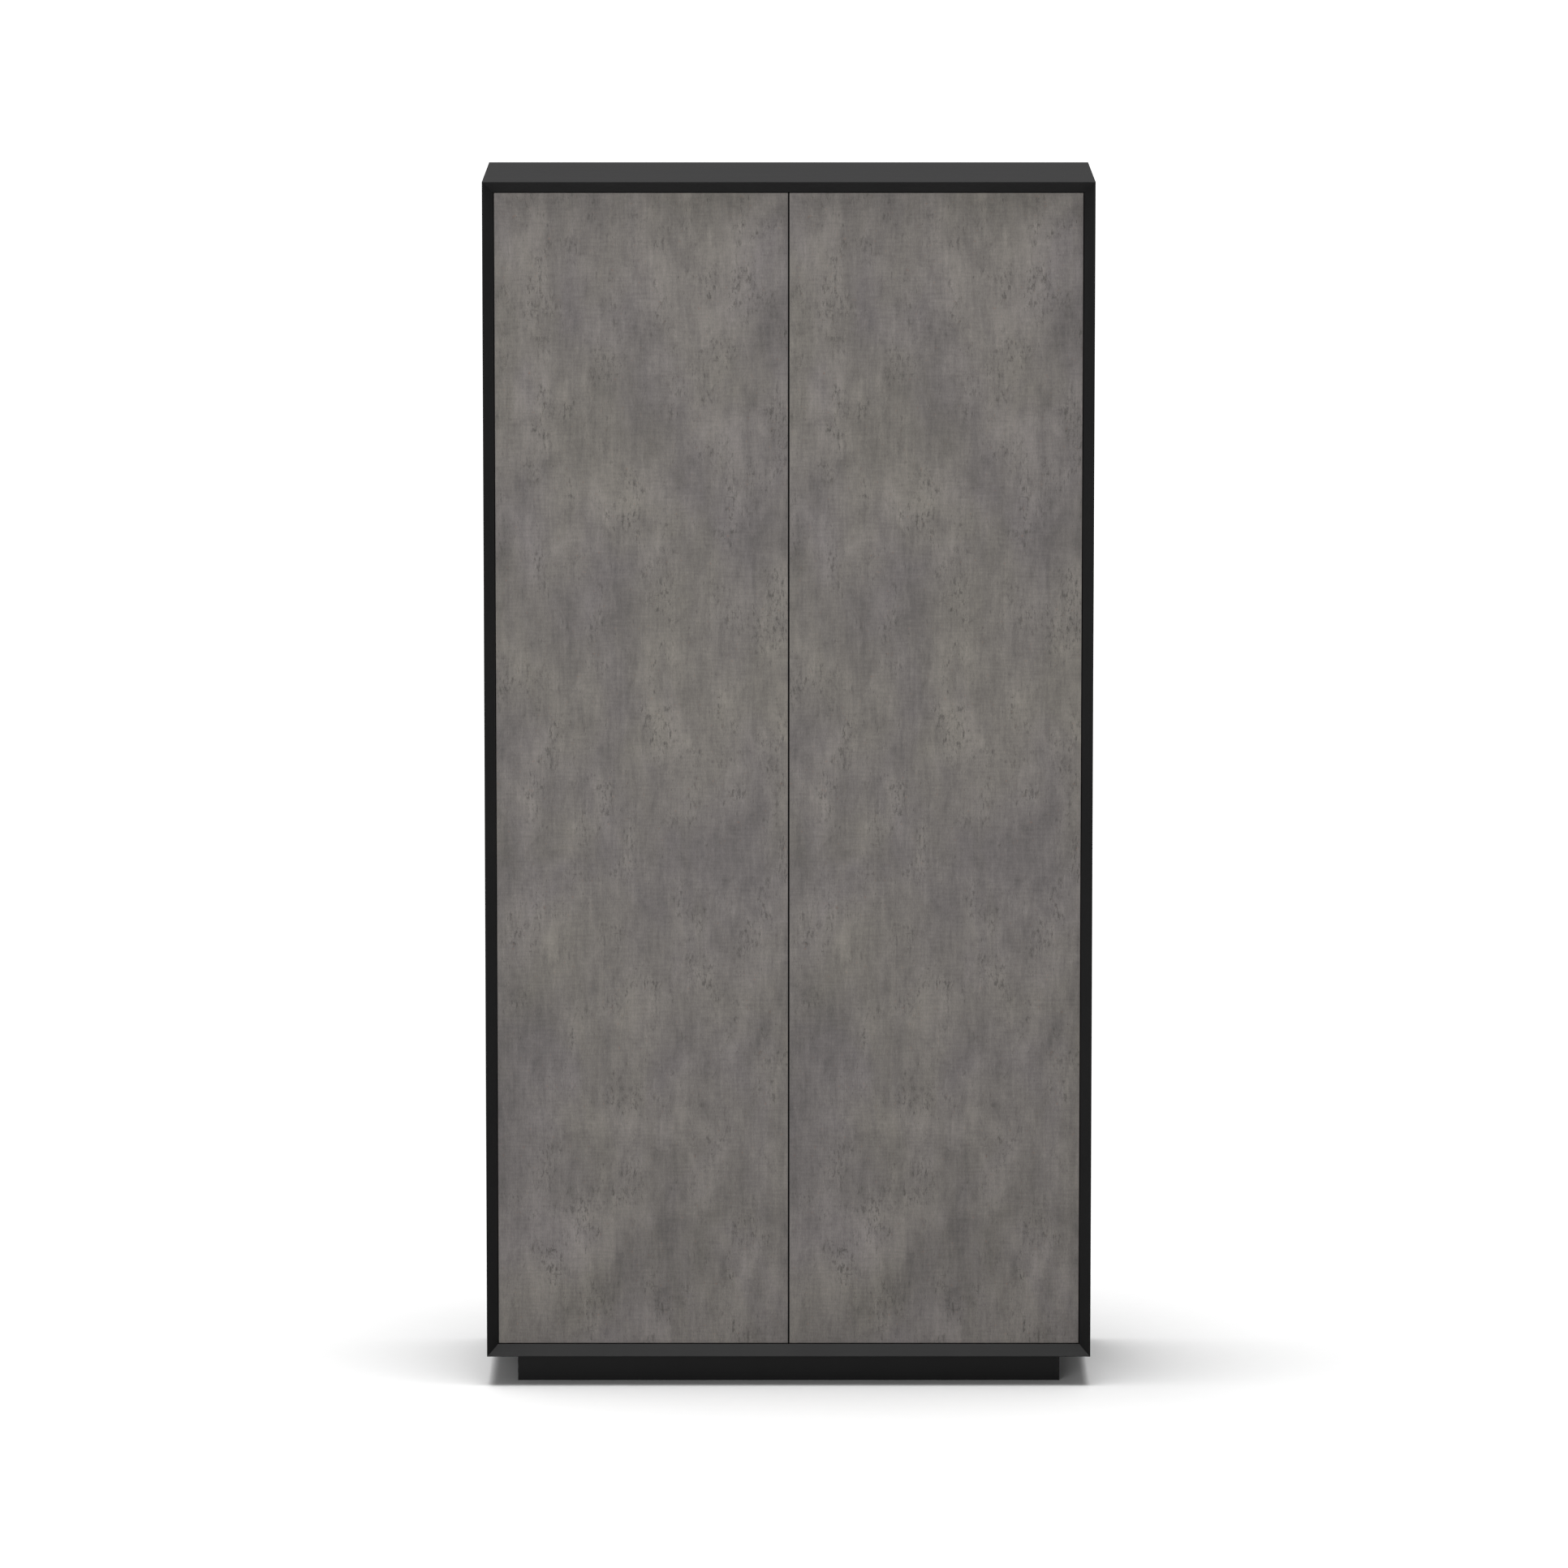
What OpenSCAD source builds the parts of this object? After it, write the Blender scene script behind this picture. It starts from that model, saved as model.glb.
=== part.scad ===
// Two-door wardrobe with a mitred, bevelled carcase, recessed push-to-open doors and a set-back plinth.
// Origin: middle of the footprint on the floor. +X right, +Y back, +Z up. Millimetres.

/* [Carcase] */
// Overall width
body_w = 1000; // [960:1:1040]
// Overall depth
body_d = 400; // [390:1:420]
// Overall height
body_h = 2000; // [1960:1:2040]
// Thickness of the carcase boards
board = 18; // [18:1:19]
// Flat left on the sharp front edge of the bevel
nose_flat = 1; // [0.5:0.5:2]
// Thickness of the back panel
back_t = 8; // [6:1:8]
// Distance from the rear edge to the back panel
back_recess = 12; // [10:1:16]

/* [Plinth] */
// Height of the plinth
plinth_h = 50; // [45:1:60]
// Set-back of the plinth at the front and the sides
plinth_inset = 50; // [40:1:60]
// Set-back of the plinth at the rear
plinth_back = 20; // [15:1:40]

/* [Doors] */
// Thickness of a door
door_t = 18; // [18:1:19]
// Distance from the front plane to the face of the doors
door_recess = 19; // [19:0.5:20]
// Gap between a door and the carcase
reveal = 1; // [1:0.25:1.5]
// Gap between the two doors
centre_gap = 2; // [2:0.5:3]

/* [Interior] */
// Set-back of the centre partition behind the doors
partition_gap = 4; // [4:0.5:6]
// Set-back of the shelves behind the front plane
shelf_setback = 58; // [56:1:70]
// Underside of the hat shelf above the floor
hat_shelf_z = 1640; // [1600:1:1660]
// Drop from the hat shelf to the middle of the clothes rail
rail_drop = 42; // [38:1:60]

/* [Hidden] */
$fn = 48;

// Colours
black = [0.10, 0.10, 0.105];
concrete = [0.42, 0.41, 0.39];
steel = [0.70, 0.70, 0.72];
zinc = [0.55, 0.55, 0.57];
grey_plastic = [0.35, 0.35, 0.36];
beech = [0.75, 0.58, 0.38];

// Carcase, derived
side_x = body_w / 2;
front_y = -body_d / 2;
rear_y = body_d / 2;
inner_x = side_x - board;
floor_z = plinth_h + board;
ceiling_z = body_h - board;
back_y = rear_y - back_recess - back_t;
groove_depth = 8;
back_tongue = groove_depth - 0.5;

// Doors, derived
door_w = (2 * inner_x - 2 * reveal - centre_gap) / 2;
door_z0 = floor_z + reveal;
door_h = ceiling_z - reveal - door_z0;
door_back = door_recess + door_t;
partition_v = door_back + partition_gap;
partition_y = front_y + partition_v;

// Shelves, derived
shelf_y = front_y + shelf_setback;
shelf_side_play = 1;
shelf_rear_play = 2;
adjustable_shelves = 4;
shelf_pitch = (hat_shelf_z - floor_z + board) / adjustable_shelves;
function shelf_z(i) = floor_z - board + shelf_pitch * i;

// Shelf pins: peg in the board, collar, and stub under the shelf
pin_r = 2.5;
pin_peg = 8;
pin_stub = 7;
pin_collar_r = 4;
pin_collar = 1;
pin_hole_depth = 9;
pin_hole_pitch = 32;
pin_row_inset = 37;
pin_rows_y = [shelf_y + pin_row_inset, back_y - pin_row_inset];

// Cam locks and dowels
cam_r = 7.5;
cam_depth = 12.5;
cam_edge = 24;
cam_bolt_grip = 9;
dowel_r = 3;
dowel_length = 16;
dowel_play = 0.5;
mitre_shift = 2;
dowel_rows_y = [for (i = [0 : 4]) front_y + 45 + i * 72];

// Hinges: local frame u from the inner face of the side, v behind the front plane
hinge_count = 4;
hinge_end = 95;
hinge_z = [for (i = [0 : hinge_count - 1])
    door_z0 + hinge_end + i * (door_h - 2 * hinge_end) / (hinge_count - 1)];
door_axis = [10, door_recess + 3.5];
door_open = 95;
cup_r = 17.45;
cup_inner_r = 15.8;
cup_hole_r = 17.5;
cup_depth = 12.5;
cup_floor = 0.8;
cup_u = reveal + 22.5;
flange_t = 1.2;
cup_screw_u = cup_u + 9.5;
cup_screw_z = 22.5;
lever_pin_r = 0.8;
lever_bore_r = 0.85;

// A pivot in the cup turns with the door; its partner on the arm lies on the bisector of the travel,
// so both ends of a lever are true with the door shut and with it open
function polar(r, a) = [door_axis.x + r * cos(a), door_axis.y + r * sin(a)];
outer_cup_pivot = polar(10.5, 60);
outer_arm_pivot = polar(25, 60 - door_open / 2);
inner_cup_pivot = polar(8.5, 76);
inner_arm_pivot = polar(24, 76 - door_open / 2);
outer_length = norm(outer_arm_pivot - outer_cup_pivot);
inner_length = norm(inner_arm_pivot - inner_cup_pivot);
function heading(a, b) = atan2(b.y - a.y, b.x - a.x);
outer_heading = heading(outer_cup_pivot, outer_arm_pivot);
inner_heading = heading(inner_cup_pivot, inner_arm_pivot);

// Layers of a hinge along Z: inner lever, arm walls, ears of the outer lever, bearing blocks in the cup
inner_half = 3.4;
wall_in = 4;
wall_out = 5.1;
ear_in = 5.5;
ear_out = 6.6;
block_in = 7;
block_out = 10;

// Mounting plates on the sides
plate_v = door_back + 37;
plate_screw_z = 16;
plate_screw_r = 2.5;
plate_screw_depth = 12;

// Push latches on the partition
latch_z = 1025;
latch_w = 13;
latch_h = 17;
latch_length = 80;
plunger_r = 3.5;
plunger_bore_r = 3.55;
plunger_length = 58;
plunger_rest_gap = 0.3;
catch_r = 6;
catch_t = 1;
tip_t = 2;
latch_front = partition_v + 1;
latch_x = 9 + latch_w / 2;
tip_front = door_back + catch_t + plunger_rest_gap;
latch_screw_v = [latch_front + 68, latch_front + 76];

// Clothes rail
rail_x = -(inner_x + board / 2) / 2;
rail_z = hat_shelf_z - rail_drop;
rail_h = 30;
rail_w = 15;
rail_wall = 1.2;
cap_t = 2;
cap_plug = 8;
rail_front = shelf_y + 12;
rail_rear = back_y - 12;
rail_brackets_y = [shelf_y + 45, back_y - 45];

// Wall fixing
wall_bracket_x = 400;
wall_bracket_w = 30;
wall_bracket_leg = 40;
wall_bracket_t = 2.5;
wall_hole_r = 3.25;
wall_hole_drop = 25;

// Screws in wood: pilot holes are as wide as the shank
screw_r = 1.75;
screw_head_r = 3.6;
screw_head = 1.2;

// ---------- helpers ----------

// A flat bar along X from the origin to [l, 0], with a wider round eye at each end
module link(l, half, eye, z0, z1) {
    translate([0, -half, z0]) cube([l, 2 * half, z1 - z0]);
    for (x = [0, l]) translate([x, 0, z0]) cylinder(r = eye, h = z1 - z0);
}

module rod(from, r, l, axis) {
    turn = axis == "x" ? [0, 90, 0] : axis == "y" ? [-90, 0, 0] : [0, 0, 0];
    translate(from) rotate(turn) cylinder(r = r, h = l);
}

// A rod along X with its ends at x0 and x1
module rod_x(x0, x1, y, z, r) {
    rod([min(x0, x1), y, z], r, abs(x1 - x0), "x");
}

module both_sides_z(z) {
    for (s = [-1, 1]) translate([0, 0, s * z]) children();
}

// Children drawn in hinge coordinates, at each hinge of the left door
module at_left_hinges() {
    for (z = hinge_z) translate([-inner_x, front_y, z]) children();
}

module mirrored() {
    mirror([1, 0, 0]) children();
}

// ---------- carcase ----------

// Board profile across its depth: outer face at 0, bevel at the front, groove for the back panel
function board_profile() = [
    [front_y, 0], [front_y, nose_flat], [front_y + board - nose_flat, board],
    [back_y, board], [back_y, board - groove_depth],
    [back_y + back_t, board - groove_depth], [back_y + back_t, board],
    [rear_y, board], [rear_y, 0]
];

// A board lying on its outer face, length along X, with both ends mitred at 45 degrees
module mitred_board(length) {
    intersection() {
        rotate([90, 0, 90]) translate([0, 0, -length / 2]) linear_extrude(length)
            polygon(board_profile());
        translate([0, rear_y + 1, 0]) rotate([90, 0, 0]) linear_extrude(body_d + 2)
            polygon([[-length / 2, 0], [length / 2, 0], [length / 2 - board, board],
                [board - length / 2, board]]);
    }
}

// Dowels square to the mitre at the corner whose outer edge is on the Y axis; longer by play
module mitre_dowels(play = 0) {
    mid = board / 2 + mitre_shift;
    for (y = dowel_rows_y)
        translate([mid, y, mid]) rotate([0, 135, 0])
            translate([0, 0, -dowel_length / 2 - play])
                cylinder(r = dowel_r, h = dowel_length + 2 * play);
}

module all_corner_dowels(play = 0) {
    for (sx = [0, 1], sz = [0, 1])
        mirror([sx, 0, 0])
            translate([-side_x, 0, sz == 0 ? plinth_h : body_h]) mirror([0, 0, sz])
                mitre_dowels(play);
}

module side_blank() {
    mid_z = (plinth_h + body_h) / 2;
    translate([-side_x, 0, mid_z]) rotate([0, 90, 0]) mitred_board(body_h - plinth_h);
}

module hinge_plate_holes() {
    at_left_hinges() both_sides_z(plate_screw_z)
        rod_x(-plate_screw_depth, 0.1, plate_v, 0, plate_screw_r);
}

// Groups of three holes for each adjustable shelf; x0 to x1 runs into the board
module pin_holes(x0, x1) {
    for (i = [1 : adjustable_shelves], y = pin_rows_y, k = [-1 : 1])
        rod_x(x0, x1, y, shelf_z(i) - pin_r + k * pin_hole_pitch, pin_r);
}

module left_side() {
    color(black) difference() {
        side_blank();
        all_corner_dowels(dowel_play);
        hinge_plate_holes();
        hat_shelf_side_dowels(dowel_play);
        cam_bolt_rods(true);
    }
}

module right_side() {
    color(black) difference() {
        mirrored() side_blank();
        all_corner_dowels(dowel_play);
        mirrored() hinge_plate_holes();
        pin_holes(inner_x - 0.1, inner_x + pin_hole_depth);
    }
}

module partition_end_dowels(play = 0) {
    for (y = [partition_y + 40, (partition_y + back_y) / 2, back_y - 40], z = [floor_z, ceiling_z])
        rod([0, y, z - 10 - play], dowel_r, 20 + 2 * play, "z");
}

module top_panel() {
    color(black) difference() {
        translate([0, 0, body_h]) mirror([0, 0, 1]) mitred_board(body_w);
        all_corner_dowels(dowel_play);
        partition_end_dowels(dowel_play);
        cam_bolt_rods(true);
        wall_bracket_top_screws();
    }
}

module bottom_panel() {
    color(black) difference() {
        translate([0, 0, plinth_h]) mitred_board(body_w);
        all_corner_dowels(dowel_play);
        partition_end_dowels(dowel_play);
        cam_bolt_rods(true);
        plinth_bracket_screws("up");
    }
}

module wall_holes(y0, y1) {
    for (s = [-1, 1])
        rod([s * wall_bracket_x, y0, ceiling_z - wall_hole_drop], wall_hole_r, y1 - y0, "y");
}

module back_panel() {
    color(black) difference() {
        translate([-inner_x - back_tongue, back_y, floor_z - back_tongue])
            cube([2 * (inner_x + back_tongue), back_t, ceiling_z - floor_z + 2 * back_tongue]);
        wall_holes(back_y - 1, back_y + back_t + 1);
    }
}

// ---------- interior ----------

module hat_shelf_side_dowels(play = 0) {
    for (y = [shelf_y + 60, back_y - 60])
        rod_x(-inner_x - 8 - play, -inner_x + 12 + play, y, hat_shelf_z + board / 2, dowel_r);
}

module hat_shelf_partition_dowels(play = 0) {
    for (y = [shelf_y + 60, back_y - 60])
        rod_x(-board / 2 - 12 - play, -board / 2 + 8 + play, y, hat_shelf_z + board / 2, dowel_r);
}

shelf_cams_y = [shelf_y + 30, back_y - 30];
partition_cams_y = [partition_y + 70, back_y - 70];

// Children drawn at each cam: in the underside of the hat shelf, and in the partition's right face
module at_cams() {
    for (y = shelf_cams_y, x = [-inner_x + cam_edge, -board / 2 - cam_edge])
        translate([x, y, hat_shelf_z]) children();
    for (y = partition_cams_y, z = [floor_z + cam_edge, ceiling_z - cam_edge])
        translate([board / 2, y, z]) rotate([0, -90, 0]) children();
}

module cam_holes() {
    at_cams() cylinder(r = cam_r, h = cam_depth);
}

// Bolts from each cam through the end of its board into the next board; as holes they run on into the cam
module cam_bolt_rods(hole = false) {
    grip = cam_bolt_grip + (hole ? dowel_play : 0);
    reach = hole ? cam_edge : cam_edge - cam_r;
    for (y = shelf_cams_y) {
        z = hat_shelf_z + board / 2;
        rod_x(-inner_x - grip, -inner_x + reach, y, z, dowel_r);
        rod_x(-board / 2 - reach, -board / 2 + grip, y, z, dowel_r);
    }
    for (y = partition_cams_y) {
        rod([0, y, floor_z - grip], dowel_r, grip + reach, "z");
        rod([0, y, ceiling_z - reach], dowel_r, grip + reach, "z");
    }
}

module centre_partition() {
    color(black) difference() {
        translate([-board / 2, partition_y, floor_z])
            cube([board, back_y - partition_y, ceiling_z - floor_z]);
        partition_end_dowels(dowel_play);
        cam_holes();
        cam_bolt_rods(true);
        hat_shelf_partition_dowels(dowel_play);
        pin_holes(board / 2 - pin_hole_depth, board / 2 + 0.1);
        latch_screw_holes();
        mirrored() latch_screw_holes();
    }
}

module hat_shelf() {
    color(black) difference() {
        translate([-inner_x, shelf_y, hat_shelf_z])
            cube([inner_x - board / 2, back_y - shelf_rear_play - shelf_y, board]);
        hat_shelf_side_dowels(dowel_play);
        hat_shelf_partition_dowels(dowel_play);
        cam_holes();
        cam_bolt_rods(true);
        rail_bracket_screws();
    }
}

module shelf(i) {
    translate([board / 2 + shelf_side_play, shelf_y, shelf_z(i)])
        cube([inner_x - board / 2 - 2 * shelf_side_play, back_y - shelf_rear_play - shelf_y, board]);
}

module shelf_1() {
    color(black) shelf(1);
}

module shelf_2() {
    color(black) shelf(2);
}

module shelf_3() {
    color(black) shelf(3);
}

module shelf_4() {
    color(black) shelf(4);
}

// One pin whose peg points along -X into a board with its face at x = 0
module shelf_pin() {
    rod_x(-pin_peg, pin_stub, 0, 0, pin_r);
    rod_x(0, pin_collar, 0, 0, pin_collar_r);
}

module shelf_pins() {
    color(steel) for (i = [1 : adjustable_shelves], y = pin_rows_y)
        translate([0, y, shelf_z(i) - pin_r]) {
            translate([board / 2, 0, 0]) pin_in_notch() shelf_pin();
            translate([inner_x, 0, 0]) mirrored() pin_in_notch() shelf_pin();
        }
}

// The collar is cut off level with the top of the pin, so the shelf lies on the stub
module pin_in_notch() {
    difference() {
        children();
        translate([-0.1, -pin_collar_r - 1, pin_r])
            cube([pin_collar + 0.2, 2 * pin_collar_r + 2, pin_collar_r]);
    }
}

// A cam housing with a cross slot; its open face is at the origin and faces -Z
module cam_lock() {
    slot_l = 9;
    slot_w = 1.6;
    slot_deep = 3;
    difference() {
        cylinder(r = cam_r, h = cam_depth);
        for (a = [0, 90]) rotate([0, 0, a])
            translate([-slot_l / 2, -slot_w / 2, -0.1]) cube([slot_l, slot_w, slot_deep + 0.1]);
    }
}

module cam_locks() {
    color(zinc) at_cams() cam_lock();
}

module cam_bolts() {
    color(zinc) cam_bolt_rods();
}

module corner_dowels() {
    color(beech) all_corner_dowels();
}

module partition_dowels() {
    color(beech) {
        partition_end_dowels();
        hat_shelf_side_dowels();
        hat_shelf_partition_dowels();
    }
}

// ---------- plinth ----------

plinth_x = side_x - plinth_inset;
plinth_front_y = front_y + plinth_inset;
plinth_rear_y = rear_y - plinth_back;

module plinth_board(x0, y0, w, d) {
    translate([x0, y0, 0]) cube([w, d, plinth_h]);
}

module plinth_front() {
    color(black) difference() {
        plinth_board(-plinth_x, plinth_front_y, 2 * plinth_x, board);
        plinth_bracket_screws("down");
    }
}

module plinth_back_rail() {
    color(black) difference() {
        plinth_board(-plinth_x, plinth_rear_y - board, 2 * plinth_x, board);
        plinth_bracket_screws("down");
    }
}

module plinth_cross(x0) {
    y0 = plinth_front_y + board;
    plinth_board(x0, y0, board, plinth_rear_y - board - y0);
}

module plinth_left() {
    color(black) plinth_cross(-plinth_x);
}

module plinth_right() {
    color(black) plinth_cross(plinth_x - board);
}

module plinth_brace() {
    color(black) plinth_cross(-board / 2);
}

// Angle brackets under the bottom panel: one leg up against it, one on a plinth board
bracket_leg = 25;
bracket_w = 20;
bracket_t = 2;
bracket_x = [-330, -110, 110, 330];
bracket_hole = bracket_leg * 0.6;

module angle_bracket(leg, w, t, hole_at, hole_r) {
    difference() {
        translate([-w / 2, 0, -leg]) union() {
            cube([w, t, leg]);
            translate([0, 0, leg - t]) cube([w, leg, t]);
        }
        rod([0, -1, -hole_at], hole_r, t + 2, "y");
        rod([0, hole_at, -t - 1], hole_r, t + 2, "z");
    }
}

// Children drawn at each plinth bracket: board face at y = 0, bottom panel at z = 0
module at_plinth_brackets() {
    for (x = bracket_x) {
        translate([x, plinth_front_y + board, plinth_h]) children();
        translate([x, plinth_rear_y - board, plinth_h]) mirror([0, 1, 0]) children();
    }
}

module plinth_bracket_screws(side) {
    shank = 12;
    at_plinth_brackets() {
        if (side != "down") {
            rod([0, bracket_hole, -bracket_t], screw_r, shank + bracket_t, "z");
        }
        if (side != "up") {
            rod([0, -shank, -bracket_hole], screw_r, shank + bracket_t, "y");
        }
    }
}

module plinth_screws() {
    color(zinc) {
        plinth_bracket_screws("both");
        at_plinth_brackets() {
            rod([0, bracket_hole, -bracket_t - screw_head], screw_head_r, screw_head, "z");
            rod([0, bracket_t, -bracket_hole], screw_head_r, screw_head, "y");
        }
    }
}

module plinth_brackets() {
    color(zinc) at_plinth_brackets()
        angle_bracket(bracket_leg, bracket_w, bracket_t, bracket_hole, screw_r + 0.3);
}

// ---------- clothes rail ----------

// Oval section, upright, with true half-round ends
module rail_section(h, w, y0, y1) {
    straight = h - w;
    translate([rail_x, y0, rail_z]) {
        translate([-w / 2, 0, -straight / 2]) cube([w, y1 - y0, straight]);
        both_sides_z(straight / 2) rod([0, 0, 0], w / 2, y1 - y0, "y");
    }
}

module rail_bore(y0, y1) {
    rail_section(rail_h - 2 * rail_wall, rail_w - 2 * rail_wall, y0, y1);
}

module clothes_rail() {
    color(steel) difference() {
        rail_section(rail_h, rail_w, rail_front, rail_rear);
        rail_bore(rail_front - 1, rail_rear + 1);
    }
}

module rail_end_caps() {
    color(grey_plastic) {
        rail_section(rail_h, rail_w, rail_front - cap_t, rail_front);
        rail_bore(rail_front, rail_front + cap_plug);
        rail_section(rail_h, rail_w, rail_rear, rail_rear + cap_t);
        rail_bore(rail_rear - cap_plug, rail_rear);
    }
}

hanger_t = 2;
hanger_w = 24;
hanger_foot = 46;
hanger_play = 0.2;

module rail_brackets() {
    grip = rail_w + 2 * (hanger_play + hanger_t);
    color(zinc) for (y = rail_brackets_y) difference() {
        union() {
            translate([rail_x - grip / 2, y - hanger_w / 2, rail_z - rail_h / 2 - hanger_t])
                cube([grip, hanger_w, hat_shelf_z - rail_z + rail_h / 2 + hanger_t]);
            translate([rail_x - hanger_foot / 2, y - hanger_w / 2, hat_shelf_z - hanger_t])
                cube([hanger_foot, hanger_w, hanger_t]);
        }
        translate([rail_x - rail_w / 2 - hanger_play, y - hanger_w / 2 - 1, rail_z - rail_h / 2])
            cube([rail_w + 2 * hanger_play, hanger_w + 2,
                hat_shelf_z - hanger_t - rail_z + rail_h / 2]);
        for (s = [-1, 1]) rod([rail_x + s * 16, y, hat_shelf_z - hanger_t - 1], screw_r + 0.3,
            hanger_t + 2, "z");
    }
}

module rail_bracket_screws(shank = 12) {
    for (y = rail_brackets_y, s = [-1, 1])
        rod([rail_x + s * 16, y, hat_shelf_z - hanger_t], screw_r, shank + hanger_t, "z");
}

module rail_screws() {
    color(zinc) {
        rail_bracket_screws();
        for (y = rail_brackets_y, s = [-1, 1])
            rod([rail_x + s * 16, y, hat_shelf_z - hanger_t - screw_head], screw_head_r,
                screw_head, "z");
    }
}

// ---------- wall fixing ----------

module at_wall_brackets() {
    for (s = [-1, 1]) translate([s * wall_bracket_x, back_y, ceiling_z]) mirror([0, 1, 0]) children();
}

module wall_brackets() {
    color(zinc) at_wall_brackets() difference() {
        translate([-wall_bracket_w / 2, 0, -wall_bracket_leg]) union() {
            cube([wall_bracket_w, wall_bracket_t, wall_bracket_leg]);
            translate([0, 0, wall_bracket_leg - wall_bracket_t])
                cube([wall_bracket_w, wall_bracket_leg, wall_bracket_t]);
        }
        rod([0, -1, -wall_hole_drop], wall_hole_r, wall_bracket_t + 2, "y");
        for (s = [-1, 1]) rod([s * 7, wall_hole_drop, -wall_bracket_t - 1], screw_r + 0.3,
            wall_bracket_t + 2, "z");
    }
}

module wall_bracket_top_screws() {
    at_wall_brackets() for (s = [-1, 1])
        rod([s * 7, wall_hole_drop, -wall_bracket_t], screw_r, 12 + wall_bracket_t, "z");
}

module wall_bracket_screws() {
    color(zinc) {
        wall_bracket_top_screws();
        at_wall_brackets() for (s = [-1, 1])
            rod([s * 7, wall_hole_drop, -wall_bracket_t - screw_head], screw_head_r,
                screw_head, "z");
    }
}

// ---------- doors ----------

module cup_screw_shanks(l = 11) {
    both_sides_z(cup_screw_z) rod([cup_screw_u, door_back - 11, 0], screw_r, l, "y");
}

module door_board() {
    difference() {
        translate([-inner_x + reveal, front_y + door_recess, door_z0]) cube([door_w, door_t, door_h]);
        at_left_hinges() {
            rod([cup_u, door_back - cup_depth, 0], cup_hole_r, cup_depth + 1, "y");
            cup_screw_shanks();
        }
    }
}

module left_door() {
    color(concrete) door_board();
}

module right_door() {
    color(concrete) mirrored() door_board();
}

// Cup with a flange on the door, two bearing blocks, the pins of the levers, and a notch at the door's edge
module hinge_cup() {
    floor_v = door_back - cup_depth;
    notch_half = 8.6;
    difference() {
        union() {
            difference() {
                rod([cup_u, floor_v, 0], cup_r, cup_depth, "y");
                rod([cup_u, floor_v + cup_floor, 0], cup_inner_r, cup_depth, "y");
            }
            difference() {
                union() {
                    rod([cup_u, door_back, 0], 19, flange_t, "y");
                    translate([cup_u + 1, door_back, -24]) cube([16, flange_t, 48]);
                    both_sides_z(24) rod([cup_u + 9, door_back, 0], 8, flange_t, "y");
                }
                rod([cup_u, door_back - 1, 0], cup_inner_r, flange_t + 2, "y");
                both_sides_z(cup_screw_z)
                    rod([cup_screw_u, door_back - 1, 0], screw_r + 0.2, flange_t + 2, "y");
            }
        }
        translate([0, door_back - 2.5, -notch_half])
            cube([cup_u - 14, flange_t + 3, 2 * notch_half]);
    }
    intersection() {
        rod([cup_u, floor_v + cup_floor, 0], cup_inner_r, cup_depth, "y");
        for (s = [0, 1]) mirror([0, 0, s])
            translate([inner_cup_pivot.x - 2, floor_v + cup_floor, block_in])
                cube([outer_cup_pivot.x - inner_cup_pivot.x + 4.2,
                    outer_cup_pivot.y + 2 - floor_v - cup_floor, block_out - block_in]);
    }
    both_sides_z((block_in + ear_in - 0.2) / 2)
        translate([outer_cup_pivot.x, outer_cup_pivot.y, -(block_in - ear_in + 0.4) / 2])
            cylinder(r = lever_pin_r, h = block_in - ear_in + 0.4);
    translate([inner_cup_pivot.x, inner_cup_pivot.y, -block_in - 0.1])
        cylinder(r = lever_pin_r, h = 2 * block_in + 0.2);
}

module left_hinge_cups() {
    color(steel) at_left_hinges() hinge_cup();
}

module right_hinge_cups() {
    color(steel) mirrored() at_left_hinges() hinge_cup();
}

module cup_screws() {
    at_left_hinges() {
        cup_screw_shanks(11 + flange_t);
        both_sides_z(cup_screw_z)
            rod([cup_screw_u, door_back + flange_t, 0], screw_head_r, screw_head, "y");
    }
}

module left_cup_screws() {
    color(zinc) cup_screws();
}

module right_cup_screws() {
    color(zinc) mirrored() cup_screws();
}

module catch_plate() {
    rod([-latch_x, front_y + door_back, latch_z], catch_r, catch_t, "y");
}

module left_catch_plate() {
    color(steel) catch_plate();
}

module right_catch_plate() {
    color(steel) mirrored() catch_plate();
}

// ---------- hinge levers ----------

// Two ears with an eye at each end, joined by a web on their lower side. The eye at the arm has no pin.
module outer_lever() {
    half = 1.6;
    eye = 1.75;
    web_x = 3;
    web_l = 4.8;
    web_low = 4.7;
    web_t = 1.1;
    translate([outer_cup_pivot.x, outer_cup_pivot.y, 0]) rotate([0, 0, outer_heading]) {
        for (s = [0, 1]) mirror([0, 0, s]) difference() {
            union() {
                link(outer_length, half, eye, ear_in, ear_out);
                translate([web_x, -web_low, ear_in]) cube([web_l, web_low - 1, ear_out - ear_in]);
            }
            for (x = [0, outer_length]) translate([x, 0, ear_in - 1])
                cylinder(r = lever_bore_r, h = ear_out - ear_in + 2);
        }
        translate([web_x, -web_low, -ear_in - 0.1]) cube([web_l, web_t, 2 * ear_in + 0.2]);
    }
}

// A bent bar with an eye at each end. The eye at the arm has no pin.
module inner_lever() {
    half = 1.2;
    knee_half = 1.3;
    eye = 1.7;
    bend = [8, -3.1];
    bar_outline = [
        [0, half], [bend.x, bend.y + knee_half], [inner_length, half],
        [inner_length, -half], [bend.x, bend.y - knee_half], [0, -half]
    ];
    translate([inner_cup_pivot.x, inner_cup_pivot.y, -inner_half]) rotate([0, 0, inner_heading])
        difference() {
            union() {
                linear_extrude(2 * inner_half) polygon(bar_outline);
                for (x = [0, inner_length]) translate([x, 0, 0])
                    cylinder(r = eye, h = 2 * inner_half);
            }
            for (x = [0, inner_length]) translate([x, 0, -1])
                cylinder(r = lever_bore_r, h = 2 * inner_half + 2);
        }
}

module left_outer_levers() {
    color(steel) at_left_hinges() outer_lever();
}

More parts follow.
